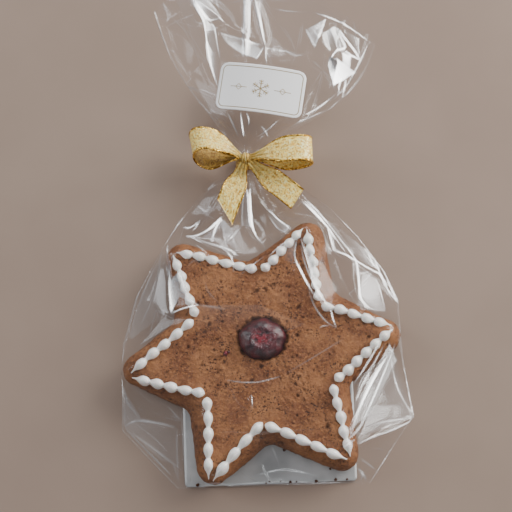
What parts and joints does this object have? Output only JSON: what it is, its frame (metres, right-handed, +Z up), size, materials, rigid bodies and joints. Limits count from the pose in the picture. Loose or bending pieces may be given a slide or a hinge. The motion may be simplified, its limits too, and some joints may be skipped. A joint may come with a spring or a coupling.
{
  "type": "gift-bagged gingerbread star biscuit",
  "caption": "Thick star-shaped gingerbread biscuit with piped bead icing and a candied cherry, on a card in a clear block-bottom bag tied with a ribbon bow, lying on its back.",
  "frame": {"origin": "centre of the footprint, on the surface that the pack lies on", "axes": "+Z up, square to the biscuit's face; +Y from the bag's folded base to its open mouth"},
  "size_m": [0.124, 0.2198, 0.0237],
  "materials": {
    "gingerbread": "matte baked crumb",
    "cherry": "glossy candied fruit",
    "icing": "satin set sugar icing",
    "card": "silver-grey coated card",
    "film": "clear glossy film",
    "ribbon": "woven gold ribbon with metallic thread",
    "label": "white paper sticker"
  },
  "bodies": {
    "root": {"cookie": "gingerbread", "cherry": "cherry", "icing_01": "icing", "icing_02": "icing", "icing_03": "icing", "icing_04": "icing", "icing_05": "icing", "icing_06": "icing", "icing_07": "icing", "icing_08": "icing", "icing_09": "icing", "icing_10": "icing", "icing_11": "icing", "icing_12": "icing", "base_card": "card", "bag": "film", "ribbon_tie": "ribbon", "ribbon_knot": "ribbon", "ribbon_loop_left": "ribbon", "ribbon_loop_right": "ribbon", "ribbon_tail_left": "ribbon", "ribbon_tail_right": "ribbon", "label": "label"}
  },
  "joints": []
}
